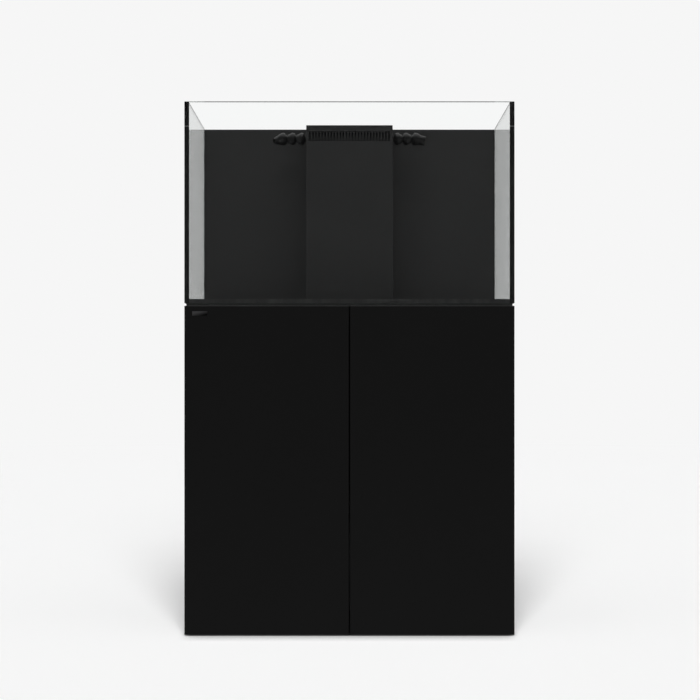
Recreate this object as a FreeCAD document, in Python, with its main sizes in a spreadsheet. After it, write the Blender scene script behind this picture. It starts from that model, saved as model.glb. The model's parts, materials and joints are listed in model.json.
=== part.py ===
"""A rimless reef aquarium on its cabinet, with overflow box, plumbing, sump and return pump.

Frame: origin on the floor under the middle, +X to the right, +Y to the back, +Z up, millimetres.
"""
import FreeCAD, Part
import math
import os
import re

import Sketcher

SIZES = {
    # Tank
    "width": 900,
    "depth": 550,
    "tank_height": 550,
    "glass": 12,
    "seam": 1.5,
    "floor_seam": 3,
    "arris": 0.8,
    "foam": 7,
    "foam_inset": 5,
    # Cabinet
    "cabinet_height": 900,
    "deck": 25,
    "board": 18,
    "back_board": 12,
    "floor_gap": 3,
    "door_clearance": 3,
    "door_split": 3,
    "soft_edge": 0.8,
    "door_bevel": 4,
    "outlet_width": 120,
    "outlet_height": 60,
    "outlet_offset": 300,
    "outlet_level": 780,
    # Door hinges, latches and badge
    "tongue_width": 8,
    "tongue_thick": 3,
    "tongue_depth": 45,
    "tongue_play": 0.5,
    "hinge_pin": 2.5,
    "pin_play": 0.06,
    "pin_length": 54,
    "pin_inset": 2,
    "pin_bevel": 0.5,
    "hinge_level": 42,
    "kerf_skin": 2,
    "kerf_end": 2,
    "latch_width": 16,
    "latch_length": 74,
    "latch_height": 14,
    "latch_offset": 40,
    "latch_setback": 4,
    "latch_gap": 0.3,
    "latch_bevel": 1,
    "plunger": 4,
    "plunger_play": 0.1,
    "plunger_length": 60,
    "plunger_room": 4,
    "plunger_bevel": 0.6,
    "badge_width": 41,
    "badge_height": 12,
    "badge_thick": 1.2,
    "badge_play": 0.15,
    "badge_offset": 408,
    "badge_level": 879,
    # Levelling feet
    "foot": 20,
    "foot_thick": 8,
    "foot_rim": 1.5,
    "foot_slope": 3,
    "foot_shoulder": 14,
    "foot_recess": 24,
    "foot_stem": 5,
    "foot_stem_length": 15,
    "foot_stem_bevel": 1,
    "foot_play": 0.08,
    "stem_skin": 2,
    "foot_inset": 40,
    # Overflow box
    "box_width": 256,
    "box_depth": 126,
    "box_wall": 6,
    "weir_height": 41.5,
    "weir_solid": 12.5,
    "slot_width": 4.5,
    "slot_pitch": 9,
    "slot_count": 27,
    "lid_thick": 5.5,
    "lid_lip": 5,
    "lid_lip_wall": 4,
    "lid_play": 1,
    "lid_drop": 5,
    "lid_edge": 1.4,
    # Pipes and bulkheads
    "pipe": 16,
    "pipe_bore": 13.6,
    "socket": 16.1,
    "socket_depth": 22,
    "pipe_pitch": 85,
    "pipe_row": 190,
    "flange": 31,
    "flange_thick": 6,
    "gasket": 3,
    "barrel": 21.8,
    "barrel_hole": 22.4,
    "barrel_drop": 55,
    "nut": 32,
    "nut_thick": 12,
    "deck_hole": 36,
    "drain_top": 1330,
    "emergency_top": 1375,
    "return_level": 1418,
    "fitting_wall": 20,
    "branch_drop": 34,
    "upper_run": 160,
    "lower_run": 194,
    "bend_radius": 80,
    # Return nozzles
    "fitting_tube": 12.9,
    "fitting_hole": 13,
    "fitting_reach": 16,
    "collar": 16,
    "collar_thick": 2,
    "first_ball": 14,
    "ball": 14,
    "ball_play": 0.3,
    "neck": 9.5,
    "water_way": 6.5,
    "rim_angle": 62,
    "rim_thick": 2.4,
    "rim_lead": 0.8,
    "segment_pitch": 27,
    "bell": 18.5,
    "bell_round": 0.6,
    "bell_start": 4,
    "bell_end": 3,
    "waist": 12.6,
    "waist_end": 15.2,
    "flare_root": 15,
    "flare_bell": 14.5,
    "flare_length": 30,
    "flare_width": 14,
    "flare_height": 8.5,
    "flare_wall": 2,
    "flare_slant": 13,
    "flare_turn": 90,
    "flare_droop": 12,
    # Valves
    "valve_level": 745,
    "valve_length": 110,
    "valve_wall": 21,
    "valve_bulge": 25,
    "valve_bulge_length": 46,
    "valve_shoulder": 4,
    "bonnet": 15,
    "bonnet_reach": 44,
    "spindle": 5,
    "spindle_play": 0.08,
    "spindle_end": 18,
    "wheel": 28,
    "wheel_notch": 6,
    "wheel_notch_row": 30,
    "wheel_window": 5,
    "wheel_window_row": 16,
    "wheel_grip": 4.5,
    "wheel_reach": 60,
    "hub": 9,
    "lever_length": 72,
    "lever_width": 16,
    "lever_thick": 7,
    "lever_hub": 11,
    "lever_gap": 4,
    "lever_hole": 4,
    # Sump
    "sump_width": 700,
    "sump_depth": 380,
    "sump_height": 360,
    "sump_glass": 6,
    "sump_middle": 60,
    "baffle_first": 60,
    "baffle_pitch": 28,
    "inlet_wall": 230,
    "under_gap": 40,
    "outlet_wall": 200,
    "pipe_end": 300,
    # Filter sock
    "holder_width": 130,
    "holder_thick": 6,
    "sock_hole": 50.3,
    "sock": 49.5,
    "felt": 2.5,
    "sock_length": 205,
    "sock_taper": 30,
    "sock_toe": 37.5,
    "sock_rim": 55,
    "sock_rim_thick": 6,
    "sock_rim_edge": 2,
    "sock_collar": 46.9,
    "sock_collar_bore": 43.5,
    "sock_collar_drop": 14,
    # Return pump
    "pump_offset": 190,
    "pump_row": 60,
    "pump_axis": 50,
    "volute": 40,
    "volute_half": 22,
    "volute_wall": 8,
    "chamber": 30,
    "suction": 13,
    "suction_wall": 20,
    "suction_reach": 16,
    "outlet_rise": 80,
    "motor": 44,
    "motor_length": 112,
    "motor_edge": 3,
    "motor_dome": 10,
    "motor_end": 32,
    "rotor": 15,
    "rotor_play": 0.5,
    "rotor_length": 58,
    "rotor_room": 1,
    "rotor_lead": 4,
    "axle": 2.5,
    "axle_length": 12,
    "axle_play": 0.06,
    "axle_room": 3,
    "vane_disc": 26,
    "vane_disc_thick": 3,
    "vane_width": 24,
    "vane_thick": 2.4,
    "vane_reach": 25,
    "vane_hub": 5,
    "vane_count": 6,
    "pump_foot_width": 66,
    "pump_foot_length": 90,
    "pump_foot_height": 22,
    "pump_foot_setback": 6,
    # How far a cutting tool runs past the piece
    "over": 1,
}

# Formulas that several pieces share, in the sheet's own names.
TANK_BASE = "(cabinet_height + foam)"
TANK_FLOOR = "(cabinet_height + foam + glass)"
TANK_TOP = "(cabinet_height + foam + tank_height)"
DECK_UNDERSIDE = "(cabinet_height - deck)"
SIDE_BASE = "(floor_gap + deck)"
CARCASS_FRONT = "(-depth / 2 + board + door_clearance)"
DOOR_MIDDLE = "(-depth / 2 + board / 2)"
HINGE_X = "(width / 2 - board / 2)"
BOX_BACK = "(depth / 2 - glass)"
BOX_FRONT = "(depth / 2 - glass - box_depth)"
BOX_TOP = f"({TANK_TOP} - lid_drop)"
WEIR_TOP = f"({BOX_TOP} - lid_thick)"
BARREL_END = f"({TANK_FLOOR} - barrel_drop)"
SUMP_FLOOR = f"({SIDE_BASE} + sump_glass)"
SUMP_TOP = f"({SIDE_BASE} + sump_height)"
PUMP_Z = f"({SUMP_FLOOR} + pump_axis)"
HOLDER_TOP = f"({SUMP_TOP} + holder_thick)"
PIPES = {"drain": "-pipe_pitch", "emergency": "0", "return": "pipe_pitch"}

ALONG_Z = FreeCAD.Rotation()
ALONG_X = FreeCAD.Rotation(FreeCAD.Vector(0, 0, 1), FreeCAD.Vector(1, 0, 0))
ALONG_Y = FreeCAD.Rotation(FreeCAD.Vector(0, 0, 1), FreeCAD.Vector(0, 1, 0))
SIDES = {"left": -1, "right": 1}
WHEEL_SPOKES = 6

doc = FreeCAD.newDocument("Aquarium")
sheet = doc.addObject("Spreadsheet::Sheet", "Sizes")
for row, (alias, size) in enumerate(SIZES.items(), start=1):
    sheet.set(f"A{row}", alias)
    sheet.set(f"B{row}", str(size))
    sheet.setAlias(f"B{row}", alias)
doc.recompute()

nodes = []


# ---------------------------------------------------------------- formulas and features
def formula(text):
    """A formula in the sheet's names, as FreeCAD's expressions want it."""
    return re.sub(r"[a-z_]+", lambda word: f"Sizes.{word[0]}" if word[0] in SIZES else word[0], str(text))


def number(text):
    """What a formula comes to now."""
    return float(sheet.evalExpression(formula(text)))


def bind(target, name, text):
    target.setExpression(name, formula(text))


def place(target, position, rotation=ALONG_Z):
    """Puts an object at a position given as three formulas."""
    target.Placement = FreeCAD.Placement(FreeCAD.Vector(), rotation)
    for axis, text in zip("xyz", position):
        bind(target, f"Placement.Base.{axis}", text)


def new_body(label, position=(0, 0, 0)):
    body = doc.addObject("PartDesign::Body", label)
    body.Label = label
    place(body, position)
    return body


def node(made):
    """Marks an object as a sub-part of its own."""
    nodes.append(made)
    return made


def group(label, members):
    """Identical pieces, kept as separate solids in one node."""
    made = doc.addObject("Part::Compound", label)
    made.Label = label
    made.Links = members
    return node(made)


def block(body, size, corner, cut=False):
    """Adds or cuts a box with the given size, from its lowest corner."""
    feature = body.newObject("PartDesign::SubtractiveBox" if cut else "PartDesign::AdditiveBox", "Block")
    for name, text in zip(("Length", "Width", "Height"), size):
        bind(feature, name, text)
    place(feature, corner)
    return feature


def centred(size, middle, base):
    """The lowest corner of a box that is centred in X and Y and stands on base."""
    return (f"{middle[0]} - ({size[0]}) / 2", f"{middle[1]} - ({size[1]}) / 2", base)


def rod(body, radius, length, start, rotation=ALONG_Z, cut=False):
    """Adds or cuts a cylinder that starts at a point and runs along the rotation's axis."""
    kind = "PartDesign::SubtractiveCylinder" if cut else "PartDesign::AdditiveCylinder"
    feature = body.newObject(kind, "Rod")
    bind(feature, "Radius", radius)
    bind(feature, "Height", length)
    place(feature, start, rotation)
    return feature


def tube(body, radius, bore, length, start, rotation=ALONG_Z):
    rod(body, radius, length, start, rotation)
    rod(body, bore, length, start, rotation, cut=True)


def break_edges(body, size, kind="Chamfer"):
    """Takes every edge of the body off by a small bevel or round."""
    doc.recompute()
    solid = body.Tip
    feature = body.newObject(f"PartDesign::{kind}", "Edges")
    feature.Base = (solid, ["Edge1"])
    feature.UseAllEdges = True
    bind(feature, "Size" if kind == "Chamfer" else "Radius", size)
    body.Tip = feature


def origin_part(body, role):
    return next(part for part in body.Origin.OriginFeatures if part.Role == role)


def outline(body, plane, points):
    """A closed sketch through points given as pairs of formulas.

    An edge that is an arc has its centre's two formulas and its far end's in one entry of four. The far end
    of an arc is held by the circle and one coordinate, the one that changes faster there.
    """
    sketch = body.newObject("Sketcher::SketchObject", "Outline")
    sketch.AttachmentSupport = [(origin_part(body, plane), "")]
    sketch.MapMode = "FlatFace"
    ends = [FreeCAD.Vector(number(point[-2]), number(point[-1]), 0) for point in points]
    for index, point in enumerate(points):
        start, end = ends[index - 1], ends[index]
        if len(point) == 2:
            sketch.addGeometry(Part.LineSegment(start, end), False)
            continue
        centre = FreeCAD.Vector(number(point[0]), number(point[1]), 0)
        middle = centre + ((start + end) / 2 - centre).normalize() * (start - centre).Length
        sketch.addGeometry(Part.Arc(start, middle, end), False)
    for index, point in enumerate(points):
        following = (index + 1) % len(points)
        far = end_at(sketch, index, ends[index])
        near = end_at(sketch, following, ends[index])
        sketch.addConstraint(Sketcher.Constraint("Coincident", index, far, following, near))
        hold_u = hold_v = True
        if len(point) == 4:
            hold(sketch, index, 3, f"centre_u{index}", "DistanceX", point[0])
            hold(sketch, index, 3, f"centre_v{index}", "DistanceY", point[1])
            radius_arm = ends[index] - FreeCAD.Vector(number(point[0]), number(point[1]), 0)
            hold_u = abs(radius_arm.y) > abs(radius_arm.x)
            hold_v = not hold_u
        if hold_u:
            hold(sketch, index, far, f"u{index}", "DistanceX", point[-2])
        if hold_v:
            hold(sketch, index, far, f"v{index}", "DistanceY", point[-1])
    return sketch


def end_at(sketch, index, corner):
    """Which end of a sketch edge is at a corner: 1 for its start and 2 for its end."""
    return 1 if (sketch.getPoint(index, 1) - corner).Length < 1e-6 else 2


def hold(sketch, index, end, name, kind, text):
    """Fixes one coordinate of a sketch point from the sketch's origin."""
    constraint = sketch.addConstraint(Sketcher.Constraint(kind, -1, 1, index, end, number(text)))
    sketch.renameConstraint(constraint, name)
    bind(sketch, f"Constraints.{name}", text)


def pad(body, sketch, length, cut=False):
    feature = body.newObject("PartDesign::Pocket" if cut else "PartDesign::Pad", "Run")
    feature.Profile = sketch
    bind(feature, "Length", length)
    feature.Reversed = cut
    return feature


def turned(body, points, axis="V_Axis", cut=False):
    """Turns an outline in the XZ plane round the body's Z axis, or its X axis with H_Axis."""
    sketch = outline(body, "XZ_Plane", points)
    feature = body.newObject("PartDesign::Groove" if cut else "PartDesign::Revolution", "Turned")
    feature.Profile = sketch
    feature.ReferenceAxis = (sketch, [axis])
    feature.Angle = 360
    return feature


def plate(label, size, middle, base, edge=None, kind="Chamfer"):
    """A rectangular plate that stands centred on a point, with its edges broken."""
    body = new_body(label, (middle[0], middle[1], base))
    block(body, size, centred(size, (0, 0), 0))
    if edge:
        break_edges(body, edge, kind)
    return body


# ---------------------------------------------------------------- tank
def make_tank():
    wide = ("width", "glass", "tank_height")
    pane_y = "(depth / 2 - glass / 2)"
    node(plate("front_glass", wide, (0, f"-{pane_y}"), TANK_BASE, "arris"))
    node(plate("back_glass", wide, (0, pane_y), TANK_BASE, "arris"))
    for side, sign in SIDES.items():
        size = ("glass", "depth - 2 * glass - 2 * seam", "tank_height")
        middle = (f"{sign} * (width - glass) / 2", 0)
        node(plate(f"{side}_glass", size, middle, TANK_BASE, "arris"))

    size = ("width - 2 * glass - 2 * floor_seam", "depth - 2 * glass - 2 * floor_seam", "glass")
    floor = node(plate("bottom_glass", size, (0, 0), TANK_BASE, "arris"))
    for x in PIPES.values():
        rod(floor, "barrel_hole", "glass + 2 * over", (x, "pipe_row", "-over"), cut=True)

    strips = []
    for x_sign in (-1, 1):
        for y_sign in (-1, 1):
            size = ("glass", "seam", "tank_height - 2 * arris")
            middle = (f"{x_sign} * (width - glass) / 2", f"{y_sign} * (depth / 2 - glass - seam / 2)")
            strips.append(plate("silicone_strip", size, middle, f"{TANK_BASE} + arris"))
    group("corner_silicone", strips)

    joint = new_body("base_silicone", (0, 0, TANK_BASE))
    size = ("width - 2 * glass", "depth - 2 * glass", "glass")
    block(joint, size, centred(size, (0, 0), 0))
    size = ("width - 2 * glass - 2 * floor_seam", "depth - 2 * glass - 2 * floor_seam", "glass")
    block(joint, size, centred(size, (0, 0), 0), cut=True)
    node(joint)

    size = ("width - 2 * foam_inset", "depth - 2 * foam_inset", "foam")
    mat = node(plate("foam_mat", size, (0, 0), "cabinet_height"))
    cut_deck_holes(mat, "foam")


def cut_deck_holes(body, thick):
    """The clearance holes under the three bulkheads."""
    for x in PIPES.values():
        rod(body, "deck_hole", f"{thick} + 2 * over", (x, "pipe_row", "-over"), cut=True)


# ---------------------------------------------------------------- overflow box
def make_overflow():
    wall_height = f"{WEIR_TOP} - {TANK_FLOOR}"
    size = ("box_width", "box_wall", f"{wall_height} - weir_height")
    front = (0, f"{BOX_FRONT} + box_wall / 2")
    node(plate("overflow_front", size, front, TANK_FLOOR, "arris"))

    size = ("box_width", "box_wall", "weir_height")
    comb = plate("weir_comb", size, front, f"{WEIR_TOP} - weir_height", "arris")
    slot_size = ("slot_width", "box_wall + 2 * over", "weir_height - weir_solid + over")
    first_slot = ("-(slot_pitch * (slot_count - 1) + slot_width) / 2", "-box_wall / 2 - over", "-over")
    slot = block(comb, slot_size, first_slot, cut=True)
    row = comb.newObject("PartDesign::LinearPattern", "Slots")
    row.Originals = [slot]
    row.Direction = (origin_part(comb, "X_Axis"), [""])
    bind(row, "Length", "slot_pitch * (slot_count - 1)")
    bind(row, "Occurrences", "slot_count")
    comb.Tip = row
    node(comb)

    for side, sign in SIDES.items():
        size = ("box_wall", "box_depth - box_wall", wall_height)
        middle = (f"{sign} * (box_width - box_wall) / 2", f"{BOX_BACK} - (box_depth - box_wall) / 2")
        wall = node(plate(f"overflow_{side}", size, middle, TANK_FLOOR, "arris"))
        hole_at = ("-box_wall", f"pipe_row - ({middle[1]})", f"return_level - {TANK_FLOOR}")
        rod(wall, "fitting_hole", "2 * box_wall", hole_at, ALONG_X, cut=True)

    size = ("box_width", "box_depth - lid_play", "lid_thick")
    lid = plate("overflow_lid", size, (0, f"{BOX_FRONT} + (box_depth - lid_play) / 2"), WEIR_TOP, "lid_edge",
                "Fillet")
    lip = ("box_width - 2 * box_wall - 2 * lid_play", "box_depth - 2 * box_wall - 2 * lid_play", "lid_lip")
    block(lid, lip, centred(lip, (0, 0), "-lid_lip"))
    inside = (f"{lip[0]} - 2 * lid_lip_wall", f"{lip[1]} - 2 * lid_lip_wall", "lid_lip + over")
    block(lid, inside, centred(inside, (0, 0), "-lid_lip - over"), cut=True)
    node(lid)


# ---------------------------------------------------------------- bulkheads and pipes
def make_bulkheads():
    bodies, nuts, gaskets = [], [], []
    for x in PIPES.values():
        body = new_body("bulkhead", (x, "pipe_row", TANK_FLOOR))
        turned(body, [
            ("socket", "gasket + flange_thick"),
            ("flange - 2", "gasket + flange_thick"),
            ("flange", "gasket + flange_thick - 2"),
            ("flange", "gasket"),
            ("barrel", "gasket"),
            ("barrel", "-barrel_drop"),
            ("socket", "-barrel_drop"),
            ("socket", "-barrel_drop + socket_depth"),
            ("pipe_bore", "-barrel_drop + socket_depth"),
            ("pipe_bore", "-glass / 2"),
            ("socket", "-glass / 2"),
        ])
        bodies.append(body)

        nut = new_body("bulkhead_nut", (x, "pipe_row", f"{TANK_BASE} - nut_thick"))
        prism = nut.newObject("PartDesign::AdditivePrism", "Hexagon")
        prism.Polygon = 6
        bind(prism, "Circumradius", "nut")
        bind(prism, "Height", "nut_thick")
        rod(nut, "barrel", "nut_thick + 2 * over", (0, 0, "-over"), cut=True)
        nuts.append(nut)

        ring = new_body("bulkhead_gasket", (x, "pipe_row", TANK_FLOOR))
        tube(ring, "flange - 1", "barrel", "gasket", (0, 0, 0))
        gaskets.append(ring)
    group("bulkheads", bodies)
    group("bulkhead_nuts", nuts)
    group("bulkhead_gaskets", gaskets)


def straight_pipe(label, x, low, high):
    body = new_body(label, (x, "pipe_row", low))
    tube(body, "pipe", "pipe_bore", f"{high} - ({low})", (0, 0, 0))
    return body


def make_pipes():
    socket_floor = f"({TANK_FLOOR} - glass / 2)"
    node(straight_pipe("drain_standpipe", PIPES["drain"], socket_floor, "drain_top"))
    node(straight_pipe("emergency_standpipe", PIPES["emergency"], socket_floor, "emergency_top"))
    branch_end = "(return_level - branch_drop)"
    node(straight_pipe("return_riser", PIPES["return"], socket_floor, f"{branch_end} + socket_depth / 2"))

    manifold = new_body("return_manifold", (0, "pipe_row", "return_level"))
    half = "(box_width / 2 - box_wall)"
    rod(manifold, "fitting_wall", f"2 * {half}", (f"-{half}", 0, 0), ALONG_X)
    rod(manifold, "fitting_wall", "branch_drop", (PIPES["return"], 0, "-branch_drop"))
    rod(manifold, "fitting_hole", f"2 * {half} + 2 * over", (f"-{half} - over", 0, 0), ALONG_X, cut=True)
    mouth = (PIPES["return"], 0, "-branch_drop - over")
    rod(manifold, "pipe_bore", "branch_drop + over", mouth, cut=True)
    rod(manifold, "socket", "socket_depth / 2 + over", mouth, cut=True)
    node(manifold)

    valve_top = "(valve_level + valve_length / 2 - socket_depth)"
    valve_bottom = "(valve_level - valve_length / 2 + socket_depth)"
    barrel_socket = f"{BARREL_END} + socket_depth"
    group("valve_stub_pipes", [
        straight_pipe("stub_pipe", PIPES[line], valve_top, barrel_socket) for line in ("drain", "return")])
    node(straight_pipe("drain_pipe", PIPES["drain"], "pipe_end", valve_bottom))
    node(straight_pipe("emergency_pipe", PIPES["emergency"], "pipe_end", barrel_socket))
    make_return_pipe(valve_bottom)


def make_return_pipe(top):
    """The rigid return pipe: straight down from its valve, across in a long bend, and down to the pump."""
    start = FreeCAD.Vector(number("pipe_pitch"), number("pipe_row"), number(top))
    end = FreeCAD.Vector(number("pump_offset"), number("pump_row"),
                         number(f"{PUMP_Z} + outlet_rise - socket_depth"))
    upper = start - FreeCAD.Vector(0, 0, number("upper_run"))
    lower = end + FreeCAD.Vector(0, 0, number("lower_run"))
    path = Part.Wire(rounded_path([start, upper, lower, end], number("bend_radius")))
    solids = []
    for radius in (number("pipe"), number("pipe_bore")):
        ring = Part.Wire(Part.makeCircle(radius, start, FreeCAD.Vector(0, 0, 1)))
        solids.append(path.makePipeShell([ring], True, True))
    pipe = doc.addObject("Part::Feature", "return_pipe")
    pipe.Label = "return_pipe"
    pipe.Shape = solids[0].cut(solids[1])
    node(pipe)


def rounded_path(corners, radius):
    """Straight runs between corners, joined by arcs of one radius that touch both runs."""
    edges = []
    at = corners[0]
    for before, corner, after in zip(corners, corners[1:], corners[2:]):
        arriving = (corner - before).normalize()
        leaving = (after - corner).normalize()
        turn = arriving.getAngle(leaving)
        reach = radius * math.tan(turn / 2)
        begin = corner - arriving * reach
        finish = corner + leaving * reach
        inward = (leaving - arriving).normalize()
        centre = corner + inward * (radius / math.cos(turn / 2))
        edges.append(Part.LineSegment(at, begin).toShape())
        edges.append(Part.Arc(begin, centre - inward * radius, finish).toShape())
        at = finish
    edges.append(Part.LineSegment(at, corners[-1]).toShape())
    return edges


# ---------------------------------------------------------------- return nozzles
# Each piece is turned about its own X axis, with its socket's centre at the origin.
RIM_U = "-(ball + ball_play) * cos(rim_angle * 1 deg)"
RIM_V = "(ball + ball_play) * sin(rim_angle * 1 deg)"
NECK_START = "sqrt(ball * ball - neck * neck)"
BALL_MOUTH = "sqrt(ball * ball - water_way * water_way)"
SOCKET_MOUTH = "sqrt((ball + ball_play) * (ball + ball_play) - water_way * water_way)"


def ball_end(centre):
    """Neck to ball to water way, from the neck's outside to the mouth of the bore."""
    return [
        (f"{centre} - {NECK_START}", "neck"),
        (centre, "0", f"{centre} + {BALL_MOUTH}", "water_way"),
    ]


def socket_end():
    """From the bore's mouth round the socket to its rim and out to the bell's crown."""
    return [
        (SOCKET_MOUTH, "water_way"),
        ("0", "0", RIM_U, RIM_V),
        (f"{RIM_U} - rim_lead", f"{RIM_V} + rim_thick"),
        ("-bell_start", "bell - bell_round"),
        ("-bell_round", "bell"),
        ("bell_end", "bell"),
    ]


def nozzle_piece(label, sign, centre, points, droop=0, turn=0):
    """A turned nozzle piece that points away from the overflow box along X.

    It can hang down from its socket by droop degrees, and be turned on its own axis.
    """
    body = new_body(label)
    outwards = FreeCAD.Rotation(FreeCAD.Vector(0, 0, 1), 0 if sign > 0 else 180)
    down = FreeCAD.Rotation(FreeCAD.Vector(0, 1, 0), droop)
    spun = FreeCAD.Rotation(FreeCAD.Vector(1, 0, 0), turn)
    body.Placement.Rotation = outwards.multiply(down).multiply(spun)
    for axis, text in zip("xyz", (f"{sign} * ({centre})", "pipe_row", "return_level")):
        bind(body, f"Placement.Base.{axis}", text)
    turned(body, points, "H_Axis")
    return body


def make_nozzles():
    fittings = []
    first = "box_width / 2 + first_ball"
    for side, sign in SIDES.items():
        fittings.append(nozzle_piece("nozzle_fitting", sign, first, [
            ("-first_ball - fitting_reach", "water_way"),
            ("-first_ball - fitting_reach", "fitting_tube"),
            ("-first_ball", "fitting_tube"),
            ("-first_ball", "collar"),
            ("-first_ball + collar_thick", "collar"),
            ("-first_ball + collar_thick", "neck"),
            *ball_end("0"),
        ]))
        for place_number in (1, 2):
            centre = f"{first} + {place_number - 1} * segment_pitch"
            node(nozzle_piece(f"{side}_ball_segment_{place_number}", sign, centre, [
                *socket_end(),
                ("waist_end / 2", "(bell + waist) / 2"),
                ("waist_end - bell_end", "waist + bell_round"),
                ("waist_end", "waist"),
                ("waist_end", "neck"),
                *ball_end("segment_pitch"),
            ]))
        make_flare(side, sign, f"{first} + 2 * segment_pitch")
    group("nozzle_fittings", fittings)


def make_flare(side, sign, centre):
    """The end nozzle: a socket that runs out into a flattened mouth, which hangs down a little.

    The left one lies flat and its mouth is cut at a slant. The right one stands on edge.
    """
    points = [
        *socket_end(),
        ("(bell_end + flare_root) / 2", "(bell + flare_bell) / 2 + bell_round"),
        ("flare_root", "flare_bell"),
        ("flare_root", "water_way"),
    ]
    turn, slant = (number("flare_turn"), 0) if sign > 0 else (0, number("flare_slant"))
    flare = nozzle_piece(f"{side}_flare_nozzle", sign, centre, points, number("flare_droop"), turn)
    middle_width, middle_height = "(flare_bell + flare_width) / 2", "(flare_bell + flare_height) / 2"
    outside = ("Additive", "0", "flare_root - 2 * over", "flare_length")
    inside = ("Subtractive", "flare_wall", "flare_root - 3 * over", "flare_length + over")
    for kind, wall, start, end in (outside, inside):
        loft = flare.newObject(f"PartDesign::{kind}Loft", "Mouth")
        loft.Profile = ellipse(flare, start, f"flare_bell - 2 * {wall}", f"flare_bell - 2 * {wall}")
        loft.Sections = [
            ellipse(flare, "(flare_root + flare_length) / 2", f"{middle_width} - {wall}",
                    f"{middle_height} - {wall}"),
            ellipse(flare, end, f"flare_width - {wall}", f"flare_height - {wall}", slant),
        ]
    node(flare)


def ellipse(body, distance, half_width, half_height, slant=0):
    """A round section across the nozzle: wide along Y and flat along Z, and turned about Z by slant degrees."""
    sketch = body.newObject("Sketcher::SketchObject", "Section")
    sketch.AttachmentSupport = [(origin_part(body, "YZ_Plane"), "")]
    sketch.MapMode = "FlatFace"
    sketch.AttachmentOffset = FreeCAD.Placement(
        FreeCAD.Vector(), FreeCAD.Rotation(FreeCAD.Vector(0, 1, 0), slant))
    bind(sketch, "AttachmentOffset.Base.z", distance)
    wide, high = number(half_width), number(half_height)
    if half_width == half_height:
        sketch.addGeometry(Part.Circle(FreeCAD.Vector(), FreeCAD.Vector(0, 0, 1), wide), False)
        sketch.addConstraint(Sketcher.Constraint("Coincident", 0, 3, -1, 1))
        constraint = sketch.addConstraint(Sketcher.Constraint("Radius", 0, wide))
        sketch.renameConstraint(constraint, "radius")
        bind(sketch, "Constraints.radius", half_width)
        return sketch
    curve = Part.Ellipse(FreeCAD.Vector(wide, 0, 0), FreeCAD.Vector(0, high, 0), FreeCAD.Vector())
    sketch.addGeometry(curve, False)
    return sketch


# ---------------------------------------------------------------- valves
def valve_casing(label, x):
    """A socketed valve body on a vertical pipe, with a bonnet that points to the front."""
    body = new_body(label, (x, "pipe_row", "valve_level"))
    half = "valve_length / 2"
    bulge = "valve_bulge_length / 2"
    turned(body, [
        ("socket", half),
        ("valve_wall", half),
        ("valve_wall", f"{bulge} + valve_shoulder"),
        ("valve_bulge", bulge),
        ("valve_bulge", f"-{bulge}"),
        ("valve_wall", f"-{bulge} - valve_shoulder"),
        ("valve_wall", f"-{half}"),
        ("socket", f"-{half}"),
        ("socket", f"-{half} + socket_depth"),
        ("pipe_bore", f"-{half} + socket_depth"),
        ("pipe_bore", f"{half} - socket_depth"),
        ("socket", f"{half} - socket_depth"),
    ])
    rod(body, "bonnet", "bonnet_reach - pipe", (0, "-bonnet_reach", 0), ALONG_Y)
    rod(body, "spindle + spindle_play", "bonnet_reach", (0, "-bonnet_reach - over", 0), ALONG_Y, cut=True)
    return node(body)


def make_valves():
    valve_casing("drain_valve_body", PIPES["drain"])
    wheel = new_body("drain_valve_wheel", (PIPES["drain"], "pipe_row", "valve_level"))
    rod(wheel, "spindle", "wheel_reach - spindle_end", (0, "-wheel_reach", 0), ALONG_Y)
    rod(wheel, "hub", "2 * wheel_grip", (0, "-wheel_reach", 0), ALONG_Y)
    rod(wheel, "wheel", "wheel_grip", (0, "-wheel_reach + wheel_grip / 2", 0), ALONG_Y)
    for turn in range(WHEEL_SPOKES):
        angle = f"{360 / WHEEL_SPOKES * turn} deg"
        for hole, row in (("wheel_notch", "wheel_notch_row"), ("wheel_window", "wheel_window_row")):
            spot = (f"{row} * cos({angle})", "-wheel_reach - wheel_grip", f"{row} * sin({angle})")
            rod(wheel, hole, "4 * wheel_grip", spot, ALONG_Y, cut=True)
    node(wheel)

    valve_casing("return_valve_body", PIPES["return"])
    handle = new_body("return_valve_handle", (PIPES["return"], "pipe_row", "valve_level"))
    face = "(-bonnet_reach - lever_gap - lever_thick)"
    rod(handle, "spindle", f"-spindle_end - {face}", (0, face, 0), ALONG_Y)
    rod(handle, "lever_hub", "lever_thick", (0, face, 0), ALONG_Y)
    block(handle, ("lever_width", "lever_thick", "lever_length"), ("-lever_width / 2", face, "-lever_length"))
    rod(handle, "lever_width / 2", "lever_thick", (0, face, "-lever_length"), ALONG_Y)
    hole_at = (0, f"{face} - over", "-lever_length")
    rod(handle, "lever_hole", "lever_thick + 2 * over", hole_at, ALONG_Y, cut=True)
    node(handle)


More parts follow.
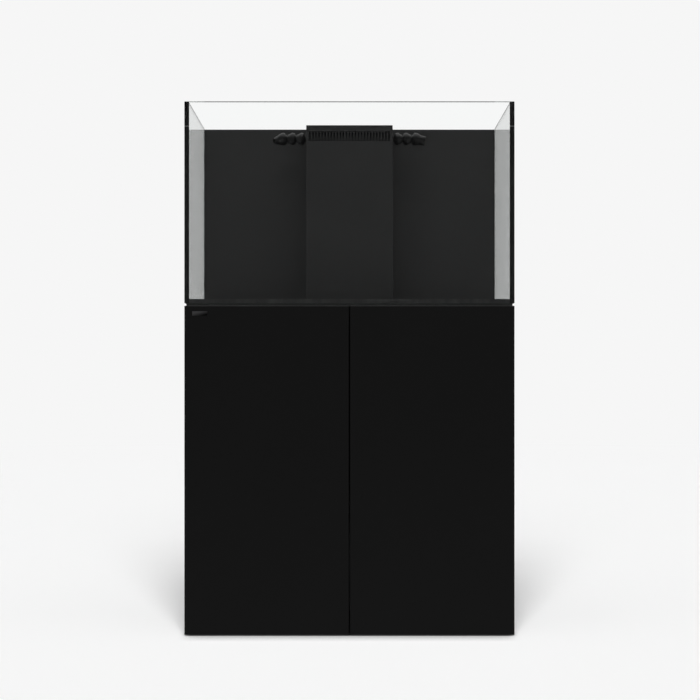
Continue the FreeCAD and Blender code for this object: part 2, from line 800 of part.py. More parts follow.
# ---------------------------------------------------------------- cabinet
def make_carcass():
    carcass_depth = f"(depth / 2 - {CARCASS_FRONT})"
    carcass_y = f"({CARCASS_FRONT} + {carcass_depth} / 2)"
    size = ("width", carcass_depth, "deck")
    top = node(plate("top_panel", size, (0, carcass_y), DECK_UNDERSIDE, "soft_edge"))
    for x in PIPES.values():
        rod(top, "deck_hole", "deck + 2 * over", (x, f"pipe_row - {carcass_y}", "-over"), cut=True)

    bottom = node(plate("bottom_panel", size, (0, carcass_y), "floor_gap", "soft_edge"))
    for x, y in foot_places():
        spot = (x, f"({y}) - {carcass_y}", "-over")
        rod(bottom, "foot_recess", "foot_thick + 2 * over", spot, cut=True)
        rod(bottom, "foot_stem + foot_play", "deck - stem_skin + over", spot, cut=True)

    wall_height = f"({DECK_UNDERSIDE} - {SIDE_BASE})"
    for side, sign in SIDES.items():
        middle = (f"{sign} * {HINGE_X}", carcass_y)
        wall = node(plate(f"{side}_side_panel", ("board", carcass_depth, wall_height), middle, SIDE_BASE,
                          "soft_edge"))
        for level in hinge_levels():
            slot = ("tongue_width", "tongue_depth + over", "tongue_thick")
            corner = ("-tongue_width / 2", f"-{carcass_depth} / 2 - over",
                      f"({level}) - {SIDE_BASE} - tongue_thick / 2")
            block(wall, slot, corner, cut=True)

    size = ("width - 2 * board", "back_board", wall_height)
    back = node(plate("back_panel", size, (0, "depth / 2 - back_board / 2"), SIDE_BASE, "soft_edge"))
    for sign in SIDES.values():
        size = ("outlet_width", "back_board + 2 * over", "outlet_height")
        middle = (f"{sign} * outlet_offset", 0)
        block(back, size, centred(size, middle, f"outlet_level - {SIDE_BASE}"), cut=True)


def foot_places():
    front = f"{CARCASS_FRONT} + foot_inset"
    back = "depth / 2 - foot_inset"
    return [(f"{sign} * (width / 2 - foot_inset)", y) for y in (front, back) for sign in SIDES.values()]


def hinge_levels():
    """The heights of the two hinge plates on each door."""
    return ("floor_gap + hinge_level", "cabinet_height - hinge_level")


def make_feet():
    names = ("front_left_foot", "front_right_foot", "back_left_foot", "back_right_foot")
    for name, (x, y) in zip(names, foot_places()):
        body = new_body(name, (x, y, 0))
        turned(body, [
            ("0", "0"),
            ("foot - foot_rim", "0"),
            ("foot", "foot_rim"),
            ("foot", "foot_thick - foot_slope"),
            ("foot_shoulder", "foot_thick"),
            ("foot_stem", "foot_thick"),
            ("foot_stem", "foot_thick + foot_stem_length - foot_stem_bevel"),
            ("foot_stem - foot_stem_bevel", "foot_thick + foot_stem_length"),
            ("0", "foot_thick + foot_stem_length"),
        ])
        node(body)


def make_doors():
    for side, sign in SIDES.items():
        door = new_body(f"{side}_door", (0, 0, "floor_gap"))
        outer, inner = f"{sign} * width / 2", f"{sign} * door_split / 2"
        front, back = "-depth / 2", "(-depth / 2 + board)"
        sketch = outline(door, "XY_Plane", [
            (outer, front),
            (inner, front),
            (inner, back),
            (f"{outer} - {sign} * door_bevel", back),
            (outer, f"{back} - door_bevel"),
        ])
        pad(door, sketch, "cabinet_height - floor_gap")
        break_edges(door, "soft_edge")
        for level in hinge_levels():
            kerf = ("board", "board", "tongue_thick + 2 * tongue_play")
            kerf_x = f"{HINGE_X} - tongue_width / 2 - kerf_end"
            corner = (kerf_x if sign > 0 else f"-({kerf_x}) - board", "-depth / 2 + kerf_skin",
                      f"{level} - floor_gap - tongue_thick / 2 - tongue_play")
            block(door, kerf, corner, cut=True)
        bore_length = "pin_length + 2 * pin_inset"
        for base in ("-pin_inset", "cabinet_height - floor_gap - pin_length - pin_inset"):
            rod(door, "hinge_pin + pin_play", bore_length, (f"{sign} * {HINGE_X}", DOOR_MIDDLE, base), cut=True)
        if sign < 0:
            size = ("badge_width + 2 * badge_play", "badge_thick + over", "badge_height + 2 * badge_play")
            corner = ("-badge_offset - badge_width / 2 - badge_play", "-depth / 2 - over",
                      "badge_level - floor_gap - badge_height / 2 - badge_play")
            block(door, size, corner, cut=True)
        node(door)

    size = ("badge_width", "badge_thick", "badge_height")
    middle = ("-badge_offset", "-depth / 2 + badge_thick / 2")
    node(plate("badge", size, middle, "badge_level - badge_height / 2"))


def make_hinges():
    plates, pins = [], []
    length = "(tongue_depth + door_clearance + board / 2)"
    for sign in SIDES.values():
        for level in hinge_levels():
            leaf = new_body("hinge_plate", (f"{sign} * {HINGE_X}", DOOR_MIDDLE, f"{level} - tongue_thick / 2"))
            block(leaf, ("tongue_width", length, "tongue_thick"), ("-tongue_width / 2", 0, 0))
            rod(leaf, "tongue_width / 2", "tongue_thick", (0, 0, 0))
            rod(leaf, "hinge_pin", "tongue_thick + 2 * over", (0, 0, "-over"), cut=True)
            plates.append(leaf)
        for base in ("floor_gap + pin_inset", "cabinet_height - pin_length - pin_inset"):
            pin = new_body("hinge_pin", (f"{sign} * {HINGE_X}", DOOR_MIDDLE, base))
            rod(pin, "hinge_pin", "pin_length", (0, 0, 0))
            break_edges(pin, "pin_bevel")
            pins.append(pin)
    group("hinge_plates", plates)
    group("hinge_pins", pins)


def make_latches():
    housings = []
    housing_y = f"({CARCASS_FRONT} + latch_setback + latch_length / 2)"
    axis_z = f"{DECK_UNDERSIDE} - latch_height / 2"
    for side, sign in SIDES.items():
        x = f"{sign} * latch_offset"
        size = ("latch_width", "latch_length", "latch_height")
        housing = plate("latch_housing", size, (x, housing_y), f"{DECK_UNDERSIDE} - latch_height",
                        "latch_bevel")
        start = (0, "-latch_length / 2 - over", "latch_height / 2")
        rod(housing, "plunger + plunger_play", "plunger_length + plunger_room", start, ALONG_Y, cut=True)
        housings.append(housing)

        plunger = new_body(f"{side}_latch_plunger", (x, "-depth / 2 + board + latch_gap", axis_z))
        rod(plunger, "plunger", "plunger_length", (0, 0, 0), ALONG_Y)
        break_edges(plunger, "plunger_bevel")
        node(plunger)
    group("latch_housings", housings)


# ---------------------------------------------------------------- sump, filter sock and pump
def make_sump():
    box = new_body("sump_tank", (0, "sump_middle", SIDE_BASE))
    size = ("sump_width", "sump_depth", "sump_height")
    block(box, size, centred(size, (0, 0), 0))
    inner = ("sump_width - 2 * sump_glass", "sump_depth - 2 * sump_glass", "sump_height")
    block(box, inner, centred(inner, (0, 0), "sump_glass"), cut=True)
    node(box)

    baffles = []
    heights = (("inlet_wall", "0"), ("inlet_wall", "under_gap"), ("outlet_wall", "0"))
    for index, (height, gap) in enumerate(heights):
        size = ("sump_glass", "sump_depth - 2 * sump_glass", height)
        middle = (f"baffle_first + {index} * baffle_pitch", "sump_middle")
        baffles.append(plate("baffle", size, middle, f"{SUMP_FLOOR} + {gap}"))
    group("sump_baffles", baffles)

    size = ("holder_width", "sump_depth", "holder_thick")
    holder = plate("sock_holder", size, (PIPES["drain"], "sump_middle"), SUMP_TOP, "arris")
    rod(holder, "sock_hole", "holder_thick + 2 * over", (0, "pipe_row - sump_middle", "-over"), cut=True)
    node(holder)

    ring = new_body("sock_ring", (PIPES["drain"], "pipe_row", HOLDER_TOP))
    turned(ring, [
        ("sock_collar_bore", "-sock_collar_drop"),
        ("sock_collar", "-sock_collar_drop"),
        ("sock_collar", "0"),
        ("sock_rim", "0"),
        ("sock_rim", "sock_rim_thick - sock_rim_edge"),
        ("sock_rim - sock_rim_edge", "sock_rim_thick"),
        ("sock_collar_bore + sock_rim_edge", "sock_rim_thick"),
        ("sock_collar_bore", "sock_rim_thick - sock_rim_edge"),
    ])
    node(ring)

    bag = new_body("filter_sock", (PIPES["drain"], "pipe_row", HOLDER_TOP))
    inner = "(sock - felt)"
    turned(bag, [
        (inner, "0"),
        ("sock", "0"),
        ("sock", "-sock_length + sock_taper"),
        ("sock_toe", "-sock_length"),
        ("0", "-sock_length"),
        ("0", "-sock_length + felt"),
        ("sock_toe - felt / 2", "-sock_length + felt"),
        (inner, "-sock_length + sock_taper"),
    ])
    node(bag)


def make_pump():
    """A wet-rotor pump lying along X: volute at the left end, motor at the right."""
    axis = ("pump_offset", "pump_row", PUMP_Z)
    cover = new_body("pump_cover", axis)
    rod(cover, "volute", "2 * volute_half", ("-volute_half", 0, 0), ALONG_X)
    rod(cover, "suction_wall", "suction_reach", ("-volute_half - suction_reach", 0, 0), ALONG_X)
    rod(cover, "valve_wall", "outlet_rise", (0, 0, 0))
    chamber_at = ("-volute_half + volute_wall", 0, 0)
    rod(cover, "chamber", "2 * volute_half - volute_wall + over", chamber_at, ALONG_X, cut=True)
    suction_at = ("-volute_half - suction_reach - over", 0, 0)
    rod(cover, "suction", "suction_reach + volute_wall + 2 * over", suction_at, ALONG_X, cut=True)
    rod(cover, "pipe_bore", "outlet_rise + over", (0, 0, 0), cut=True)
    rod(cover, "socket", "socket_depth + over", (0, 0, "outlet_rise - socket_depth"), cut=True)
    node(cover)

    motor = new_body("pump_body", ("pump_offset + volute_half", "pump_row", PUMP_Z))
    turned(motor, [
        ("0", "rotor + rotor_play"),
        ("0", "motor - motor_edge"),
        ("motor_edge", "motor"),
        ("motor_length - motor_dome", "motor"),
        ("motor_length", "motor_end"),
        ("motor_length", "0"),
        ("rotor_length + axle_length + axle_room", "0"),
        ("rotor_length + axle_length + axle_room", "axle + axle_play"),
        ("rotor_length + rotor_room", "axle + axle_play"),
        ("rotor_length + rotor_room", "rotor + rotor_play"),
    ], "H_Axis")
    size = ("pump_foot_length", "pump_foot_width", "pump_foot_height")
    foot_x = "motor_length - pump_foot_setback - pump_foot_length"
    block(motor, size, (foot_x, "-pump_foot_width / 2", "-pump_axis"))
    rod(motor, "rotor + rotor_play", "rotor_length + rotor_room", (0, 0, 0), ALONG_X, cut=True)
    node(motor)

    impeller = new_body("pump_impeller", ("pump_offset + volute_half", "pump_row", PUMP_Z))
    disc_x = "-rotor_lead - vane_disc_thick"
    rod(impeller, "rotor", "rotor_length + rotor_lead", ("-rotor_lead", 0, 0), ALONG_X)
    rod(impeller, "axle", "axle_length", ("rotor_length", 0, 0), ALONG_X)
    rod(impeller, "vane_disc", "vane_disc_thick", (disc_x, 0, 0), ALONG_X)
    rod(impeller, "vane_hub", "vane_width", (f"{disc_x} - vane_width", 0, 0), ALONG_X)
    vane = block(impeller, ("vane_width", "vane_thick", "vane_reach"),
                 (f"{disc_x} - vane_width", "-vane_thick / 2", "0"))
    ring = impeller.newObject("PartDesign::PolarPattern", "Vanes")
    ring.Originals = [vane]
    ring.Axis = (origin_part(impeller, "X_Axis"), [""])
    ring.Angle = 360
    bind(ring, "Occurrences", "vane_count")
    impeller.Tip = ring
    node(impeller)


# ---------------------------------------------------------------- build, check and write
def write_parts():
    doc.recompute()
    broken = [item.Label for item in doc.Objects if {"Invalid", "Error"} & set(item.State)]
    broken += [item.Label for item in nodes if item.Shape.isNull() or not item.Shape.isValid()]
    if broken:
        raise SystemExit(f"these did not build: {sorted(set(broken))}")
    os.makedirs("parts", exist_ok=True)
    for item in nodes:
        item.Shape.exportStep(f"parts/{item.Label}.step")


make_tank()
make_overflow()
make_bulkheads()
make_pipes()
make_nozzles()
make_valves()
make_carcass()
make_feet()
make_doors()
make_hinges()
make_latches()
make_sump()
make_pump()
write_parts()
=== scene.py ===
"""A rimless reef aquarium on its black cabinet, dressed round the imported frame.

Metres, in the frame of the CAD model.
"""
import json
import math

import bmesh
import bpy
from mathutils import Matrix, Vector, noise


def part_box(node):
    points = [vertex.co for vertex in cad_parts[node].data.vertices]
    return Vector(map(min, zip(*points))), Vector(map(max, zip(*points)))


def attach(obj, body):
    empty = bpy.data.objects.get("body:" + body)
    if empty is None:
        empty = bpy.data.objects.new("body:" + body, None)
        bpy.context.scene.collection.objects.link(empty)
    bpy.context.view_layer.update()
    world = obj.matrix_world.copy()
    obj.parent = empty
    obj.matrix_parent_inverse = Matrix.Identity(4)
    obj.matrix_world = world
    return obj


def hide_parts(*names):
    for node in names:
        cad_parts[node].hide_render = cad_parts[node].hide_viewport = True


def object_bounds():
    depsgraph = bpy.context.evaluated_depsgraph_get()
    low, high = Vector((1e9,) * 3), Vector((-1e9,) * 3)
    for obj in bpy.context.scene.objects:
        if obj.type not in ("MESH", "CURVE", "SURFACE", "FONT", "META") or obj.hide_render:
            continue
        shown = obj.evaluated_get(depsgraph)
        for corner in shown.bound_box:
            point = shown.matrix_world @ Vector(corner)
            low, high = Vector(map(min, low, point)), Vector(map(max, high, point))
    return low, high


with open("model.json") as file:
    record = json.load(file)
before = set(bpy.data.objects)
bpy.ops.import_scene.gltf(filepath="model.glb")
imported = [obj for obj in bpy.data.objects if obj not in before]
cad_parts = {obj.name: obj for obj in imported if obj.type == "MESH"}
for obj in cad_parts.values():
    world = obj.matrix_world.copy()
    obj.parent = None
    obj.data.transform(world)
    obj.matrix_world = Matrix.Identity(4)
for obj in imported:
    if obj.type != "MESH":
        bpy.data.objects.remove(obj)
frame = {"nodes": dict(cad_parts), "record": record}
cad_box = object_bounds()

MM = 0.001
CAD_SIZE = cad_box[1] - cad_box[0]
WIDTH, HEIGHT = CAD_SIZE.x, CAD_SIZE.z
FRONT = cad_box[0].y

# The studio. Tones are linear values.
PALE = 0.922                 # the white that the camera sees
GLASS_GAIN = 1.04            # makes up for what a pane takes from the white behind it
ROOM_FRONT = 0.07            # what lights the object from the camera's side
ROOM_BACK = 0.7              # what lights it from behind
ROOM_TOP = 0.9               # what lights it from overhead
FLOOR_BOUNCE = 0.3           # the floor's colour, as the object's light and gloss meet it
FLOOR_REACH = 60.0           # half of the floor's side
FADE_START, FADE_END = 5.0, 14.0        # how far out the floor's shadows fade away
CONTACT_REACH = 0.11         # how near its front the floor darkens below the object, as a painted contact shadow
CONTACT_EDGE = 0.02          # that fades out from this far inside the object's side to this far outside
CONTACT_BEHIND = (0.03, 0.08)           # and between these distances behind the front face
FLOOR_LEAN = (0.0, -0.95, 0.31)         # the floor is shaded as if it leaned towards its suns

# The floor's suns
SHADOW_SHARE = 0.9           # how much of the floor's tone a full shadow takes away
SUN_POWER = 1.76
SUN_SPREAD = 12.5            # degrees across, seen from the floor
SUN_SIDE = 9                 # degrees left and right of straight ahead
SUN_ROWS = ((20, 0.16), (33, 0.3), (44, 0.28), (58, 0.26))      # height in degrees, and share of the power

# The camera
CAMERA_DISTANCE = 4.77       # from the front face
CAMERA_HEIGHT = 0.696
LENS, SENSOR = 90.0, 36.0    # mm
SHIFT = (0.0008, 0.0437)
VIEW_END = 200.0

# The object
HAIRLINE_DROP = 66 * MM      # from the tank's rim to the pale hairline in the corner joints
HAIRLINE_HALF, HAIRLINE_FADED = 0.8 * MM, 1.8 * MM
SKIN = 0.08 * MM             # how far the silicone is drawn in


# ---------------------------------------------------------------- node helpers
class Finish:
    """A Principled material with short ways to add procedural detail, in the object's own metres."""

    def __init__(self, name, colour, roughness, **sockets):
        self.material = bpy.data.materials.new(name)
        self.material.use_nodes = True
        self.tree = self.material.node_tree
        self.shader = self.tree.nodes["Principled BSDF"]
        self.set("Base Color", (*colour, 1.0))
        self.set("Roughness", roughness)
        for socket, value in sockets.items():
            self.set(socket.replace("_", " "), value)
        self.coordinates = None

    def set(self, socket, value):
        self.shader.inputs[socket].default_value = value

    def node(self, kind, **settings):
        made = self.tree.nodes.new(kind)
        for name, value in settings.items():
            setattr(made, name, value)
        return made

    def link(self, output, target):
        self.tree.links.new(output, target)

    def place(self, stretch=(1, 1, 1)):
        """The point on the object, stretched by a factor along each axis."""
        if self.coordinates is None:
            self.coordinates = self.node("ShaderNodeTexCoord").outputs["Object"]
        mapping = self.node("ShaderNodeMapping")
        mapping.inputs["Scale"].default_value = stretch
        self.link(self.coordinates, mapping.inputs["Vector"])
        return mapping.outputs["Vector"]

    def grain(self, scale, stretch=(1, 1, 1), detail=2.0, roughness=0.5):
        texture = self.node("ShaderNodeTexNoise")
        texture.inputs["Scale"].default_value = scale
        texture.inputs["Detail"].default_value = detail
        texture.inputs["Roughness"].default_value = roughness
        self.link(self.place(stretch), texture.inputs["Vector"])
        return texture.outputs["Fac"]

    def cells(self, scale, stretch=(1, 1, 1)):
        texture = self.node("ShaderNodeTexVoronoi")
        texture.inputs["Scale"].default_value = scale
        self.link(self.place(stretch), texture.inputs["Vector"])
        return texture.outputs["Distance"]

    def ranged(self, source, low, high, start=0.3, end=0.7):
        """A source that runs from start to end becomes a value from low to high."""
        change = self.node("ShaderNodeMapRange")
        for name, value in zip(("From Min", "From Max", "To Min", "To Max"), (start, end, low, high)):
            change.inputs[name].default_value = value
        self.link(source, change.inputs["Value"])
        return change.outputs["Result"]

    def maths(self, operation, first, second=None):
        step = self.node("ShaderNodeMath", operation=operation)
        for socket, value in zip(step.inputs, (first, second)):
            if isinstance(value, bpy.types.NodeSocket):
                self.link(value, socket)
            elif value is not None:
                socket.default_value = value
        return step.outputs["Value"]

    def blend(self, factor, first, second):
        mix = self.node("ShaderNodeMix", data_type="RGBA")
        self.link(factor, mix.inputs["Factor"])
        for socket, colour in zip((mix.inputs["A"], mix.inputs["B"]), (first, second)):
            if isinstance(colour, bpy.types.NodeSocket):
                self.link(colour, socket)
            else:
                socket.default_value = (*colour, 1.0)
        return mix.outputs["Result"]

    def vary(self, socket, source, low, high, start=0.3, end=0.7):
        self.link(self.ranged(source, low, high, start, end), self.shader.inputs[socket])
        return self

    def tint(self, source, first, second, start=0.3, end=0.7):
        factor = self.ranged(source, 0.0, 1.0, start, end)
        self.link(self.blend(factor, first, second), self.shader.inputs["Base Color"])
        return self

    def bump(self, source, height, strength=1.0):
        """Relief of the given height in metres. A second call adds to the first."""
        relief = self.node("ShaderNodeBump")
        relief.inputs["Distance"].default_value = height
        relief.inputs["Strength"].default_value = strength
        self.link(source, relief.inputs["Height"])
        normal = self.shader.inputs["Normal"]
        if normal.is_linked:
            self.link(normal.links[0].from_socket, relief.inputs["Normal"])
        self.link(relief.outputs["Normal"], normal)
        return self

    def looking(self, axis):
        """How far a face looks along an axis: 1 for square on, 0 for edge on, -1 for the other way."""
        geometry = self.node("ShaderNodeNewGeometry")
        parts = self.node("ShaderNodeSeparateXYZ")
        self.link(geometry.outputs["True Normal"], parts.inputs["Vector"])
        return parts.outputs[axis]

    def facing(self, axis):
        """How far a face looks along an axis, either way: 1 for square on, 0 for edge on."""
        return self.maths("ABSOLUTE", self.looking(axis))

    def along(self, axis):
        """Where the point lies along one axis, in metres."""
        parts = self.node("ShaderNodeSeparateXYZ")
        self.link(self.place(), parts.inputs["Vector"])
        return parts.outputs[axis]


# ---------------------------------------------------------------- finishes
def clear_glass(name, axis, index):
    """Low-iron glass: clear faces across one axis, and polished edges with a green cast."""
    clear, green = (0.99, 1.0, 0.996), (0.70, 0.86, 0.80)
    glass = Finish(name, clear, 0.0, Transmission_Weight=1.0, IOR=index)
    edge = glass.maths("LESS_THAN", glass.facing(axis), 0.95)
    glass.link(glass.blend(edge, clear, green), glass.shader.inputs["Base Color"])
    return glass


def black_glass():
    """Glass painted black behind: an even tone with faint wiping marks, and rolled paint on its back."""
    glass = Finish("black_glass", (0.084, 0.084, 0.0845), 0.3, IOR=1.45)
    through = glass.blend(glass.ranged(glass.grain(3.0, detail=3.0), 0.0, 1.0),
                          (0.082, 0.082, 0.0825), (0.086, 0.086, 0.0865))
    paint = glass.blend(glass.ranged(glass.grain(90.0, (1, 1, 0.4), detail=4.0), 0.0, 1.0),
                        (0.02, 0.02, 0.02), (0.032, 0.032, 0.032))
    glass.tint(glass.looking("Y"), through, paint, 0.4, 0.6)
    glass.vary("Roughness", glass.grain(14.0, (1, 1, 0.3), detail=4.0), 0.28, 0.34)
    return glass.bump(glass.grain(600.0), 0.000004)


def silicone(name, colour, line_height=None):
    """Silicone, tooled by hand. A pale hairline is drawn across it at a given height, if one is given."""
    seal = Finish(name, colour, 0.38)
    mottled = seal.blend(seal.ranged(seal.grain(50.0, (1, 1, 0.3), detail=3.0), 0.0, 1.0),
                         tuple(0.8 * part for part in colour), tuple(1.2 * part for part in colour))
    if line_height is None:
        seal.link(mottled, seal.shader.inputs["Base Color"])
    else:
        line = seal.maths("ABSOLUTE", seal.maths("SUBTRACT", seal.along("Z"), line_height))
        seal.tint(line, (0.45, 0.45, 0.45), mottled, HAIRLINE_HALF, HAIRLINE_FADED)
    seal.vary("Roughness", seal.grain(60.0, (1, 1, 0.2)), 0.3, 0.5)
    return seal.bump(seal.grain(140.0, (1, 1, 0.15), detail=3.0), 0.0002)


def foam():
    """Closed-cell foam: small pores on a matt skin."""
    mat = Finish("foam", (0.07, 0.07, 0.07), 0.9, Specular_IOR_Level=0.3)
    mat.tint(mat.cells(900.0), (0.04, 0.04, 0.04), (0.09, 0.09, 0.09), 0.1, 0.6)
    return mat.bump(mat.cells(700.0), 0.0004).bump(mat.grain(90.0, detail=4.0), 0.0003)


def moulded(name, colour, roughness, grain_size=1.2 * MM, relief=0.00004, **sockets):
    """Injection-moulded plastic: a fine even grain and small changes of gloss and tone."""
    plastic = Finish(name, colour, roughness, **sockets)
    darker = tuple(0.86 * part for part in colour)
    lighter = tuple(min(1.0, 1.12 * part) for part in colour)
    plastic.tint(plastic.grain(11.0, detail=3.0), darker, lighter)
    plastic.vary("Roughness", plastic.grain(45.0, detail=4.0), roughness * 0.85, roughness * 1.18)
    return plastic.bump(plastic.grain(1 / grain_size, detail=3.0), relief)


def overflow_acrylic():
    """Black cast acrylic: an even tone, faint wiping marks and a very fine texture."""
    sheet = Finish("overflow_black", (0.072, 0.072, 0.0725), 0.38, IOR=1.49)
    sheet.tint(sheet.grain(7.0, detail=3.0), (0.07, 0.07, 0.0705), (0.074, 0.074, 0.0745))
    sheet.vary("Roughness", sheet.grain(30.0, detail=5.0), 0.28, 0.4)
    return sheet.bump(sheet.grain(900.0), 0.00002)


def pipe_grey():
    """Extruded grey pressure pipe: faint drawing lines along it and a dull gloss."""
    pipe = Finish("pipe_grey", (0.055, 0.06, 0.066), 0.42)
    pipe.tint(pipe.grain(40.0, (1, 1, 0.03), detail=3.0), (0.047, 0.052, 0.057), (0.064, 0.069, 0.075))
    pipe.vary("Roughness", pipe.grain(160.0, (1, 1, 0.02)), 0.34, 0.5)
    return pipe.bump(pipe.grain(420.0, (1, 1, 0.02), detail=3.0), 0.00006)


def lacquered_board():
    """Satin black lacquer on board: slight orange peel, a soft change of gloss, and a painted highlight on
    its broken edges.
    """
    board = Finish("black_board", (0.0096, 0.0096, 0.0097), 0.44, IOR=1.38)
    tone = board.blend(board.ranged(board.grain(2.5, detail=4.0), 0.0, 1.0),
                       (0.0088, 0.0088, 0.0089), (0.0104, 0.0104, 0.0105))
    # Painted highlight: faces that slope at 45 degrees, as the broken edges do, are coloured pale.
    painted_bevel_highlight = board.maths("ABSOLUTE", board.maths("SUBTRACT", board.facing("Z"), math.sqrt(0.5)))
    board.tint(painted_bevel_highlight, (0.16, 0.16, 0.16), tone, 0.1, 0.15)
    board.vary("Roughness", board.grain(6.0, detail=5.0), 0.4, 0.5)
    board.bump(board.grain(420.0, detail=1.0), 0.00003)
    return board.bump(board.grain(60.0), 0.00004)


def brushed_metal(name, colour, roughness, stretch=(0.02, 1, 1)):
    """Metal brushed along X, with an uneven gloss across the brushing."""
    metal = Finish(name, colour, roughness, Metallic=1.0, Anisotropic=0.5)
    metal.vary("Roughness", metal.grain(900.0, stretch, detail=3.0), roughness * 0.8, roughness * 1.3)
    return metal.bump(metal.grain(1400.0, stretch, detail=2.0), 0.00002)


def badge_metal():
    """Dark satin metal with a painted shine that falls off towards its lower right corner."""
    metal = brushed_metal("badge_metal", (0.14, 0.14, 0.145), 0.38)
    low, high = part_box("badge")
    across = metal.ranged(metal.along("X"), 0.0, 1.0, low.x, high.x)
    down = metal.ranged(metal.along("Z"), 1.0, 0.0, low.z, high.z)
    # Painted reflection: pale towards the upper left, dark towards the lower right.
    return metal.tint(metal.maths("ADD", across, down), (0.24, 0.24, 0.245), (0.015, 0.015, 0.015), 0.5, 1.6)


def acrylic():
    """Clear cast acrylic with blue upper edges and wiping marks. It mirrors less than real acrylic does."""
    clear, blue = (0.95, 0.975, 0.985), (0.76, 0.89, 0.93)
    sheet = Finish("acrylic", clear, 0.02, Transmission_Weight=1.0, IOR=1.15)
    sheet.tint(sheet.looking("Z"), clear, blue, 0.9, 0.95)
    return sheet.vary("Roughness", sheet.grain(8.0, (1, 1, 0.3), detail=4.0), 0.0, 0.05)


def felt():
    """Needled polyester felt: matted fibres, soft edges and a slightly uneven cream white."""
    cloth = Finish("felt", (0.74, 0.73, 0.68), 0.95, Sheen_Weight=0.35, Sheen_Roughness=0.5)
    tone = cloth.grain(26.0, detail=5.0, roughness=0.6)
    cloth.tint(tone, (0.64, 0.63, 0.575), (0.80, 0.79, 0.745))
    fibres = cloth.grain(1500.0, (1, 1, 0.45), detail=6.0, roughness=0.7)
    return cloth.bump(fibres, 0.0006).bump(cloth.cells(420.0, (1, 1, 0.6)), 0.0004, 0.6)


FINISHES = {
    "black_glass": black_glass,
    "black_silicone": lambda: silicone("black_silicone", (0.018, 0.018, 0.018), HEIGHT - HAIRLINE_DROP),
    "foam": foam,
    "overflow_black": overflow_acrylic,
    "nozzle_black": lambda: moulded("nozzle_black", (0.007, 0.007, 0.0075), 0.4),
    "pipe_grey": pipe_grey,
    "gasket_rubber": lambda: moulded("gasket_rubber", (0.02, 0.02, 0.02), 0.7),
    "valve_red": lambda: moulded("valve_red", (0.42, 0.018, 0.012), 0.3),
    "black_board": lacquered_board,
    "steel": lambda: brushed_metal("steel", (0.56, 0.56, 0.57), 0.3),
    "latch_grey": lambda: moulded("latch_grey", (0.19, 0.19, 0.195), 0.45),
    "badge_metal": badge_metal,
    "foot_black": lambda: moulded("foot_black", (0.016, 0.016, 0.016), 0.6),
    "acrylic": acrylic,
    "felt": felt,
    "sock_white": lambda: moulded("sock_white", (0.72, 0.72, 0.71), 0.4),
    "pump_black": lambda: moulded("pump_black", (0.02, 0.02, 0.022), 0.42, 1.6 * MM, 0.0001),
    "impeller_white": lambda: moulded("impeller_white", (0.6, 0.6, 0.59), 0.35),
}


def dress_nodes(finishes):
    """Gives each CAD node the finish of its slot, but for a few that look different from the rest of it."""
    own = {
        "front_glass": clear_glass("clear_glass_front", "Y", 1.3).material,
        "left_glass": clear_glass("clear_glass_side", "X", 1.1).material,
    }
    own["right_glass"] = own["left_glass"]
    slots = {part["node"]: part["material_slot"] for part in frame["record"]["subparts"]}
    for name, node in frame["nodes"].items():
        material = own.get(name) or finishes[slots[name]].material
        node.data.materials.clear()
        node.data.materials.append(material)


# ---------------------------------------------------------------- silicone joints
def recessed(node_name, body, material):
    """A CAD piece with its skin drawn in a hair, so that it and the glass don't share one surface."""
    piece = frame["nodes"][node_name].copy()
    piece.data = piece.data.copy()
    piece.name = f"{node_name}_joint"
    bpy.context.collection.objects.link(piece)
    draw_in = piece.modifiers.new("skin", "DISPLACE")
    draw_in.strength = -SKIN
    draw_in.mid_level = 0.0
    piece.data.materials.clear()
    piece.data.materials.append(material)
    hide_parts(node_name)
    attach(piece, body)


